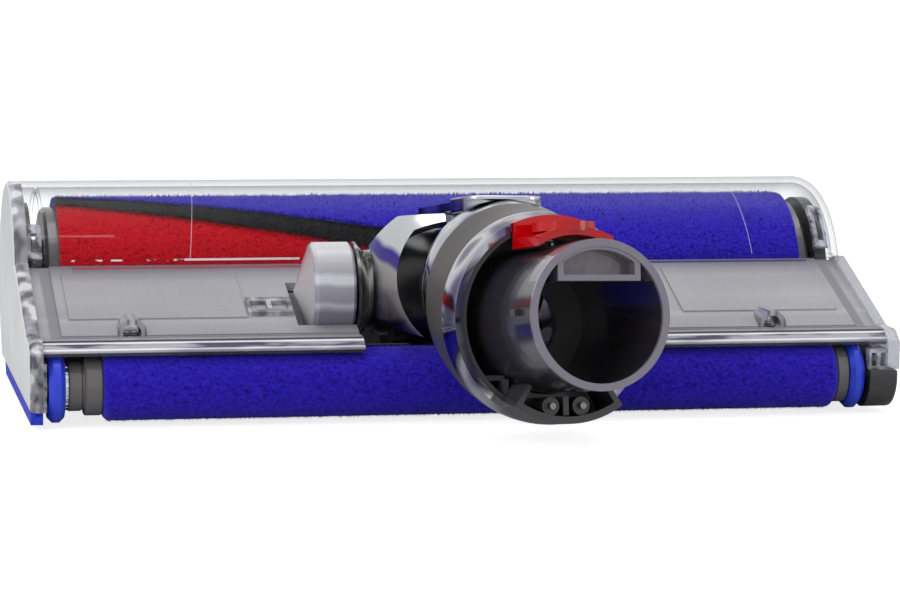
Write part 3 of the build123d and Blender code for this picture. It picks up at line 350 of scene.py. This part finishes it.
def elbow_skin(name):
    """Mirror skin of the elbow painted by height: a pale crown of painted light, a violet band of
    painted reflection and a darker foot of painted shade.
    """
    m = Mat(name, lin(176, 177, 182), rough=0.2, metal=1.0)
    far = m.magnitude(m.along((1, 0, 0)))
    drop = m.math("SUBTRACT", m.along((0, 0, 1)), far)
    wavy = m.math("ADD", drop, m.span(m.noise(15.0, 1.0, (1, 1, 0.5)), 0.3, 0.7, -2.0, 2.0))
    # Painted light, painted reflection and painted shade by height over the shell
    m.color(m.span(wavy, -4.0, 36.0), [
        (0.05, lin(60, 55, 86)), (0.22, lin(86, 82, 94)), (0.36, lin(114, 111, 114)),
        (0.57, lin(142, 140, 141)), (0.61, lin(72, 62, 124)), (0.70, lin(68, 58, 134)),
        (0.75, lin(184, 188, 191)), (1.0, lin(188, 192, 194))])
    m.bump(m.noise(16.0, 1.0), 0.5, 0.15)
    m.bump(m.noise(0.8, 2.0), 0.003, 0.2)
    return m.m


def boss_skin(name, shift, half_gap, radius):
    """Clear screw bosses: a painted highlight as a bright middle between two dark lines of painted
    shade, and a rim of painted shade.
    """
    m = Mat(name, lin(218, 216, 228), rough=0.05)
    far = m.magnitude(m.along((1, 0, 0), (shift, 0, 0)))
    offset = m.magnitude(m.math("SUBTRACT", far, half_gap * MM))
    # Painted highlight in the middle, painted shade in the two lines and at the rim
    shade = m.ramp(m.span(offset, 0.0, radius * MM), [
        (0.12, lin(240, 240, 244)), (0.22, lin(158, 156, 168)), (0.32, lin(154, 152, 165)),
        (0.42, lin(210, 208, 220)), (0.78, lin(206, 204, 216)), (0.92, lin(146, 144, 156))])
    m.clear(shade, shade, 0.62, 0.06, 1.5, 0.03, 0.5)
    return m.m


def rail_bands(name):
    """Clear hood as seen from behind: painted highlights and painted shade as bright and dark lines
    along it, clear at its foot.
    """
    m = Mat(name, lin(206, 205, 214), rough=0.05)
    view_up, foot, crest = (0, 0.126, 0.992), 16.5, 22.0
    level = m.span(m.along(view_up), foot, crest)
    m.bump(m.noise(1.1, 1.5, (0.03, 1, 1)), 0.02, 0.4)
    # Painted highlights as the white lines and painted shade as the dark lines; light and dark are
    # lit and shaded copies mixed by a noise
    sheet, painted_shade_line, white = lin(166, 165, 171), lin(68, 64, 76), lin(251, 251, 253)
    light = m.ramp(level, [
        (0.18, lin(214, 213, 222)), (0.28, lin(198, 197, 206)), (0.31, white), (0.36, white),
        (0.38, lin(188, 186, 199)), (0.60, lin(178, 176, 191)), (0.63, white), (0.69, white),
        (0.71, painted_shade_line), (0.78, painted_shade_line), (0.82, sheet)])
    dark = m.ramp(level, [
        (0.18, lin(186, 184, 196)), (0.28, lin(150, 148, 164)), (0.31, lin(226, 225, 232)),
        (0.36, lin(206, 204, 216)), (0.38, lin(92, 88, 116)), (0.60, lin(76, 72, 98)),
        (0.63, lin(238, 238, 243)), (0.69, lin(226, 226, 234)), (0.71, painted_shade_line), (0.78, painted_shade_line),
        (0.82, sheet)])
    tone = m.blend(m.span(m.noise(3.2, 2.5, (0.16, 1, 1)), 0.47, 0.60), light, dark)
    m.clear(tone, tone, m.span(level, 0.14, 0.22, 0.05, 0.88), 0.06, 0.5)
    return m.m


def end_plate(name, skin, low, mid, high, edge_x):
    """Clear plate streaked with painted highlights and painted shade, finely at its rear edge, with
    a pale skin beyond edge_x.
    """
    m = Mat(name, skin, rough=0.3)
    m.color(m.noise(18.0, 2.0), [(0.3, skin), (0.7, lin(232, 234, 235))])
    m.bump(m.noise(0.6, 2.0), 0.01, 0.3)
    pale_shader = m.b.outputs["BSDF"]
    rear_start, rear_end = -19.0, -17.0  # mm along Y
    # Painted highlights and painted shade as streaks on the clear part
    streak = m.noise(5.0, 0.8, (1, 1, 0.3))
    broad = m.ramp(streak, [(0.36, low), (0.46, mid), (0.54, mid), (0.62, high)])
    fine = m.ramp(m.noise(2.6, 1.5, (1, 1, 0.6)), [
        (0.36, lin(116, 114, 128)), (0.45, lin(180, 179, 188)), (0.54, mid),
        (0.62, lin(252, 252, 254))])
    shade = m.blend(m.span(m.along((0, 1, 0)), rear_start, rear_end, 1.0, 0.0), broad, fine)
    m.clear(shade, shade, m.span(streak, 0.40, 0.62, 0.35, 0.7), 0.08, edge=0.5)
    clear_shader = m.out.inputs["Surface"].links[0].from_socket
    beyond = m.math("LESS_THAN", m.along((1, 0, 0)), edge_x * MM)
    mix = m.new("ShaderNodeMixShader")
    m.link(beyond, mix.inputs["Fac"])
    m.link(clear_shader, mix.inputs[1])
    m.link(pale_shader, mix.inputs[2])
    m.link(mix.outputs["Shader"], m.out.inputs["Surface"])
    return m.m


def bare_metal(name, color, rough, grain, height, strength, stretch=(1, 1, 1)):
    """Metal with a fine grain, drawn out by stretch."""
    m = Mat(name, color, rough=rough, metal=1.0)
    m.bump(m.noise(grain, 2.0, stretch), height, strength)
    return m.m


def bore_tube(name, rim, body, pocket):
    """Wand tube: pale rim, a dark colour beyond it on the outside and in the bore, where it is
    painted shade, and a grey key pocket behind the rim.
    """
    m = Mat(name, body, rough=0.2, Coat_Weight=0.5)
    out = m.along(wand_axis, mouth_centre)
    lift = m.along(wand_up, mouth_centre)
    rim_depth, pocket_depth, pocket_rise = 1.0, 6.0, 9.0  # mm
    # Beyond the rim the tube takes the dark body colour, which in the bore is painted shade
    near_rim = m.math("GREATER_THAN", out, -rim_depth)
    in_pocket = m.math("MULTIPLY", m.math("GREATER_THAN", out, -pocket_depth),
                       m.math("GREATER_THAN", lift, pocket_rise))
    shade = m.ramp(m.noise(7.0, 2.0, (1, 1, 0.4)), [(0.35, pocket), (0.65, lin(126, 121, 132))])
    tone = m.blend(in_pocket, body, shade)
    m.link(m.blend(near_rim, tone, rim), m.b.inputs["Base Color"])
    m.bump(m.noise(0.35, 2.0), 0.02, 0.3)
    return m.m


# Direction of the wand at rest, its up, the neck's pivot and the centre of the wand's mouth
tilt, steer = math.radians(10.0), math.radians(11.5)
pivot_forward, pivot_height = 0.020, 0.0335
mouth_reach, mouth_drop = 0.0975, 0.0117
back = Vector((0, -math.cos(tilt), math.sin(tilt)))
wand_axis = back * math.cos(steer) + Vector((math.sin(steer), 0, 0))
wand_up = Vector((0, math.sin(tilt), math.cos(tilt)))
pivot = Vector((0, rear_y + pivot_forward, pivot_height))
mouth_centre = pivot + wand_axis * mouth_reach - wand_up * mouth_drop

deck_low, deck_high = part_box("frosted_deck")
drum_low, drum_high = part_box("left_pivot_cover")
plate_low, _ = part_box("left_end_plate")
blue = plush("plush_blue", lin(20, 8, 112), lin(40, 21, 176), lin(58, 44, 206))
red = plush("plush_red", lin(132, 0, 14), lin(192, 6, 26), lin(212, 24, 42))
strip = plush("strip_carbon", lin(10, 10, 12), lin(20, 20, 22), lin(44, 44, 46))
felt = plush("felt_blue", lin(30, 34, 150), lin(46, 56, 200), lin(70, 84, 226))
cover = clear("plastic_clear_cover", (0.985, 0.988, 0.992, 1), lin(225, 228, 232), 0.0008,
              0.8, 0.0008, 0.55)
clear_part = moulded("plastic_clear_part", 3.2, lin(112, 110, 126), lin(214, 215, 224),
                     lin(252, 252, 254), 0.34)
clear_rail = rail_bands("plastic_clear_rail")
clear_plate = clear("plastic_clear_plate", (0.86, 0.86, 0.89, 1), lin(186, 185, 193), 0.3,
                    1.1, 0.02, 0.8)
clear_clip = moulded("plastic_clear_clip", 4.0, lin(150, 149, 157), lin(172, 171, 178),
                     lin(196, 196, 202), 0.62, 0.6)
boss_low, boss_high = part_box("screw_bosses")
boss_radius = 0.0041
boss = boss_skin("plastic_clear_boss", (boss_low.x + boss_high.x) / 2,
                 (boss_high.x - boss_low.x) / 2 - boss_radius, boss_radius)
smoky = moulded("plastic_smoky", 6.0, lin(36, 36, 38), lin(104, 102, 102), lin(190, 190, 190),
                0.7, 1.5, (1, 1, 0.3))
drum_cone_x = 0.0435
drum = hub_drum("plastic_drum", drum_low.z, drum_high.z, drum_cone_x)
deck_strip_x = 0.1170
deck = frosted("plastic_frosted", lin(150, 149, 154), lin(170, 169, 173), lin(188, 187, 191),
               deck_low.z, deck_high.z, deck_strip_x)
skin_depth = 0.0003
pale = end_plate("plastic_pale", lin(216, 219, 219), lin(158, 156, 169), lin(204, 204, 212),
                 lin(246, 246, 250), plate_low.x + skin_depth)
dark = plastic("plastic_dark", lin(52, 52, 54), 0.3)
black = plastic("plastic_black", lin(20, 20, 23), 0.28)
holder = plastic("plastic_holder", lin(56, 55, 59), 0.26)
liner = plastic("plastic_liner", lin(72, 70, 76), 0.24)
tube = bore_tube("plastic_tube", lin(122, 117, 132), lin(46, 44, 52), lin(92, 88, 98))
grey = plastic("plastic_grey", lin(96, 93, 93), 0.24, Coat_Weight=0.3)
belt_start, belt_end = 44.0, 57.5  # mm from the pivot along the wand's axis
belted = ringed("plastic_collar", (1, 1, 0.3), belt_start, belt_end)
wheel_blue = plastic("plastic_blue", lin(38, 62, 208), 0.34)
button = plastic("plastic_red", lin(200, 3, 10), 0.1, 0.8, 0.008, 0.03,
                 Specular_IOR_Level=0.3, Coat_Weight=0.2)
metal = metallized("plastic_metallized", (1, 1, 0.3))
elbow = elbow_skin("plastic_elbow")
bright = bare_metal("metal_bright", lin(205, 206, 208), 0.12, 0.8, 0.02, 0.4)
steel = bare_metal("metal_steel", lin(176, 176, 178), 0.3, 0.4, 0.01, 0.4, (0.1, 1, 1))
contact = bare_metal("metal_contact", lin(128, 124, 118), 0.2, 0.5, 0.005, 0.3)

looks = {
    "front_cover": cover, "frosted_deck": deck, "screw_bosses": boss, "deck_screws": bright,
    "deck_clip": clear_clip, "rear_rail": clear_rail, "chassis": deck, "left_end_plate": pale,
    "right_end_plate": clear_plate, "main_end_cap": dark, "left_end_housing": clear_part,
    "right_end_housing": clear_part, "rear_end_cap": dark, "rear_axle": steel,
    "left_felt_seal": felt, "right_felt_seal": felt, "left_drive_housing": dark,
    "motor_mount": dark, "brush_motor": steel, "right_bearing_block": dark,
    "left_cover_clip": clear_part, "right_cover_clip": clear_part, "left_pivot_cover": drum,
    "right_pivot_cover": drum, "left_pivot_bush": dark, "right_pivot_bush": dark,
    "left_hub": smoky, "right_hub": smoky, "neck_shell": elbow, "neck_duct": black,
    "steer_pin": steel, "collar_front_ring": metal, "steer_cap": metal, "collar_band": belted,
    "collar_rear_ring": belted, "collar_liner": liner, "wand_tube": tube,
    "connector_block": holder, "connector_tray": holder, "contact_pins": contact,
    "release_button": button, "button_spring": steel, "front_core": dark, "drive_dog": dark,
    "left_roller_ring": grey, "right_roller_ring": grey, "blue_pile": blue, "red_pile": red,
    "carbon_strips": strip, "rear_core": grey, "rear_pile": blue, "left_collar": grey,
    "left_sleeve": grey, "tooth_ring": bright, "left_ring_wheel": wheel_blue,
    "right_ring_wheel": wheel_blue, "right_collar": grey,
}
for name, obj in nodes.items():
    obj.data.materials.clear()
    obj.data.materials.append(looks[name])


def mesh_object(name, verts, faces, material, body):
    """Mesh from numpy arrays of points and triangles, riding on a body."""
    mesh = bpy.data.meshes.new(name)
    mesh.vertices.add(len(verts))
    mesh.vertices.foreach_set("co", np.asarray(verts, np.float32).ravel())
    mesh.loops.add(len(faces) * 3)
    mesh.loops.foreach_set("vertex_index", np.asarray(faces, np.int32).ravel())
    mesh.polygons.add(len(faces))
    mesh.polygons.foreach_set("loop_start", np.arange(0, len(faces) * 3, 3, dtype=np.int32))
    mesh.polygons.foreach_set("loop_total", np.full(len(faces), 3, np.int32))
    mesh.update()
    mesh.materials.append(material)
    obj = bpy.data.objects.new(name, mesh)
    bpy.context.scene.collection.objects.link(obj)
    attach(obj, body)


def pile(name, x, angle, y, z, radius, length, width, lean, material, body):
    """Plush fibres on a roller: thin blades that lean about, at given x and angle arrays."""
    root_depth = 0.0004
    n = len(x)
    a = np.radians(angle)
    out = np.stack([np.zeros(n), np.cos(a), np.sin(a)], 1)
    around = np.stack([np.zeros(n), -np.sin(a), np.cos(a)], 1)
    along = np.tile([1.0, 0.0, 0.0], (n, 1))
    base = np.stack([x, np.full(n, y), np.full(n, z)], 1) + out * (radius - root_depth)
    sway = np.radians(rng.uniform(0, 360, n))
    side = along * np.cos(sway)[:, None] + around * np.sin(sway)[:, None]
    tip_dir = out + side * rng.uniform(0, lean, n)[:, None]
    tip_dir /= np.linalg.norm(tip_dir, axis=1)[:, None]
    half = np.cross(out, side) * (width / 2)
    reach = length * rng.uniform(0.55, 1.0, n)[:, None]
    verts = np.empty((n, 3, 3))
    verts[:, 0] = base - half
    verts[:, 1] = base + half
    verts[:, 2] = base + tip_dir * reach
    faces = np.arange(3 * n).reshape(n, 3)
    mesh_object(name, verts.reshape(-1, 3), faces, material, body)


front_low, front_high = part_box("front_core")
front_y = (front_low.y + front_high.y) / 2
front_z = (front_low.z + front_high.z) / 2
front_radius = front_z
twist = 0.42  # degrees per mm along the roller

# Sectors in degrees at mid length: strip, red, strip, and blue for the rest of the turn
strip_start, red_start, red_end, blue_start = 141.0, 157.0, 267.0, 283.0
even, near_border = 60000, 30000
count = even + near_border
x = rng.uniform(front_low.x + 0.0005, front_high.x - 0.0005, count)
borders = rng.choice([strip_start, red_start, red_end, blue_start], near_border)
borders = borders + rng.uniform(-2.2, 2.2, near_border)
angle = np.concatenate([rng.uniform(strip_start, strip_start + 360.0, even), borders])
turned = angle + twist * x * MM
tuft = (angle + rng.normal(0.0, 0.7, count) - strip_start) % 360.0 + strip_start
on_blue = tuft > blue_start
on_red = (tuft > red_start) & (tuft < red_end)
on_strip = (tuft < red_start) | ((tuft > red_end) & (tuft < blue_start))
front_length, front_width = 0.0016, 0.00028
for name, mask, material, slot, lean in (
        ("front_blue_fuzz", on_blue, blue, "blue_plush", 0.9),
        ("front_red_fuzz", on_red, red, "red_plush", 0.9),
        ("front_strip_fuzz", on_strip, strip, "carbon_bristle", 0.7)):
    pile(name, x[mask], turned[mask], front_y, front_z, front_radius, front_length, front_width,
         lean, material, "front_roller")

rear_low, rear_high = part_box("rear_pile")
rear_z = (rear_low.z + rear_high.z) / 2
rear_radius = (rear_high.z - rear_low.z) / 2
rear_round = 0.0024  # rounding of the pile's ends
rear_length, rear_width = 0.0011, 0.00024
count = 60000
x = rng.uniform(rear_low.x + 0.001, rear_high.x - 0.001, count)
inset = rear_round - np.minimum(x - rear_low.x, rear_high.x - x)
drop = rear_round - np.sqrt(np.maximum(0.0, rear_round ** 2 - inset ** 2))
radius = rear_radius - np.where(inset > 0.0, drop, 0.0)[:, None]
pile("rear_fuzz", x, rng.uniform(0, 360, count), rear_y, rear_z, radius, rear_length, rear_width,
     1.0, blue, "rear_roller")


def ribbon(name, points, width, material, body):
    """Thin strip along a path of points, as wide as width along X."""
    pts = np.asarray(points)
    n = len(pts)
    off = np.array([width / 2, 0.0, 0.0])
    verts = np.concatenate([pts - off, pts + off])
    faces = []
    for i in range(n - 1):
        faces += [(i, i + 1, n + i + 1), (i, n + i + 1, n + i)]
    mesh_object(name, verts, faces, material, body)


def glint(name, colour, low, high, stretch):
    """See-through strip that shows its colour only where a noise passes a threshold."""
    m = Mat(name, colour, rough=0.3)
    fleck = m.noise(2.4, 2.0, stretch)
    m.clear((1.0, 1.0, 1.0, 1), colour, m.span(fleck, low, high, 0.0, 0.95), 0.1, 0.2, 0.0)
    return m.m


def level_strip(name, x0, x1, y, z, tall, material):
    """Upright strip along X, seen from behind."""
    verts = [(x0, y, z), (x1, y, z), (x1, y, z + tall), (x0, y, z + tall)]
    mesh_object(name, verts, [(0, 1, 2), (0, 2, 3)], material, "head")


# Bright and coloured lines where the arch meets the deck: a painted highlight on the lip, painted
# reflections of the red and blue rollers, and white flecks
lip_y, lip_rear_y = rear_y + 0.0462, rear_y + 0.0430
level_strip("arch_foot_flecks", -0.1090, -0.0760, lip_y, 0.0394, 0.0005,
            glint("glint_flecks", lin(252, 250, 252), 0.50, 0.55, (0.6, 1, 1)))
# Painted highlight along the lip
level_strip("arch_foot_highlight", -0.0760, -0.0420, lip_y, 0.0394, 0.0006,
            glint("glint_lip_highlight", lin(253, 251, 253), 0.30, 0.36, (0.2, 1, 1)))
# Painted reflections of the red and the blue roller
level_strip("arch_foot_red_reflection", -0.1090, -0.0420, lip_rear_y, 0.0374, 0.0007,
            glint("glint_red_reflection", lin(196, 96, 106), 0.10, 0.55, (0.1, 1, 1)))
level_strip("arch_foot_violet_reflection", 0.0420, 0.1120, lip_rear_y, 0.0376, 0.0006,
            glint("glint_violet_reflection", lin(98, 88, 156), 0.10, 0.55, (0.1, 1, 1)))

# Glare on the arch's left end
glare_turn, glare_radius = math.radians(145.0), front_z + 0.0047
level_strip("arch_glare", -0.1210, -0.0960, front_y + glare_radius * math.cos(glare_turn),
            front_z + glare_radius * math.sin(glare_turn), 0.0006,
            glint("glint_glare", lin(252, 252, 254), 0.35, 0.95, (0.06, 1, 1)))

# Fine mould lines over the arch
cover_radius = front_z + 0.00495
line_look = clear("plastic_mould_line", (0.98, 0.98, 0.98, 1), lin(232, 232, 236), 0.6, 0.6)
line_width, line_points = 0.00018, 40
turns = np.radians(np.linspace(88.0, 158.0, line_points))
for side, x_top, x_foot in (("left", -0.0702, -0.0742), ("right", 0.0925, 0.0962)):
    drift = np.linspace(x_top, x_foot, line_points)
    path_points = np.stack([drift, front_y + cover_radius * np.cos(turns),
                            front_z + cover_radius * np.sin(turns)], 1)
    ribbon("mould_line_" + side, path_points, line_width, line_look, "head")

# White floor that shows the object's shadow, and a white world
floor_mesh = bpy.data.meshes.new("floor")
floor_mesh.from_pydata([(-6, -6, 0), (6, -6, 0), (6, 6, 0), (-6, 6, 0)], [], [(0, 1, 2, 3)])
floor = bpy.data.objects.new("floor", floor_mesh)
bpy.context.scene.collection.objects.link(floor)
floor.location.z = -0.0012  # just under the lowest fibres
floor_shade, floor_glow = 0.72, 0.80
ground = bpy.data.materials.new("floor_white")
ground.use_nodes = True
tree = ground.node_tree
tree.nodes.clear()
output = tree.nodes.new("ShaderNodeOutputMaterial")
diffuse = tree.nodes.new("ShaderNodeBsdfDiffuse")
diffuse.inputs["Color"].default_value = (floor_shade, floor_shade, floor_shade, 1)
glow = tree.nodes.new("ShaderNodeEmission")
glow.inputs["Color"].default_value = (1, 1, 1, 1)
ray = tree.nodes.new("ShaderNodeLightPath").outputs
seen = math_node(tree, "MAXIMUM", ray["Is Camera Ray"], ray["Is Transmission Ray"])
tree.links.new(math_node(tree, "MULTIPLY", seen, floor_glow), glow.inputs["Strength"])
add = tree.nodes.new("ShaderNodeAddShader")
tree.links.new(diffuse.outputs["BSDF"], add.inputs[0])
tree.links.new(glow.outputs["Emission"], add.inputs[1])
tree.links.new(add.outputs["Shader"], output.inputs["Surface"])
floor_mesh.materials.append(ground)

ambient = 0.42  # the world's strength as a light; it is 1 where it is seen or mirrored
world = bpy.data.worlds.new("studio")
bpy.context.scene.world = world
world.use_nodes = True
tree = world.node_tree
background = tree.nodes["Background"]
background.inputs["Color"].default_value = (1, 1, 1, 1)
ray = tree.nodes.new("ShaderNodeLightPath").outputs
seen = math_node(tree, "MAXIMUM", ray["Is Camera Ray"], ray["Is Transmission Ray"])
mirrored = math_node(tree, "MAXIMUM", seen, ray["Is Glossy Ray"])
strength = tree.nodes.new("ShaderNodeMapRange")
strength.inputs["To Min"].default_value = ambient
strength.inputs["To Max"].default_value = 1.0
tree.links.new(mirrored, strength.inputs["Value"])
tree.links.new(strength.outputs["Result"], background.inputs["Strength"])


def softbox(name, place, target, width, height, power):
    """Rectangular lamp at a place, turned towards a target."""
    light = bpy.data.lights.new(name, "AREA")
    light.shape = "RECTANGLE"
    light.size = width
    light.size_y = height
    light.energy = power
    obj = bpy.data.objects.new(name, light)
    bpy.context.scene.collection.objects.link(obj)
    obj.location = place
    obj.rotation_euler = (Vector(target) - Vector(place)).to_track_quat("-Z", "Y").to_euler()


softbox("light_top", (0.0, 0.1, 0.9), (0, 0, 0), 0.9, 0.6, 4.2)
softbox("light_left", (-0.8, -0.6, 0.5), (0, -0.02, 0.03), 0.5, 0.5, 3.4)
softbox("light_right", (0.9, -0.5, 0.35), (0, -0.02, 0.03), 0.4, 0.5, 1.7)

# Camera, solved from the photo
camera_place = (-0.1998, -0.9665 + rear_y, 0.1611)
yaw, pitch, roll = math.radians(11.34), math.radians(7.41), math.radians(0.74)
forward = Vector((math.sin(yaw) * math.cos(pitch), math.cos(yaw) * math.cos(pitch),
                  -math.sin(pitch)))
right = Vector((math.cos(yaw), -math.sin(yaw), 0))
up = right.cross(forward)
right_rolled = right * math.cos(roll) + up * math.sin(roll)
up_rolled = up * math.cos(roll) - right * math.sin(roll)
camera_data = bpy.data.cameras.new("camera")
camera_data.lens = 140.3
camera_data.sensor_width = 36.0
camera_data.clip_start = 0.01
camera = bpy.data.objects.new("camera", camera_data)
bpy.context.scene.collection.objects.link(camera)
turn = Matrix((right_rolled, up_rolled, -forward)).transposed()
camera.matrix_world = Matrix.Translation(camera_place) @ turn.to_4x4()
bpy.context.scene.camera = camera
bpy.context.scene.view_settings.view_transform = "Standard"
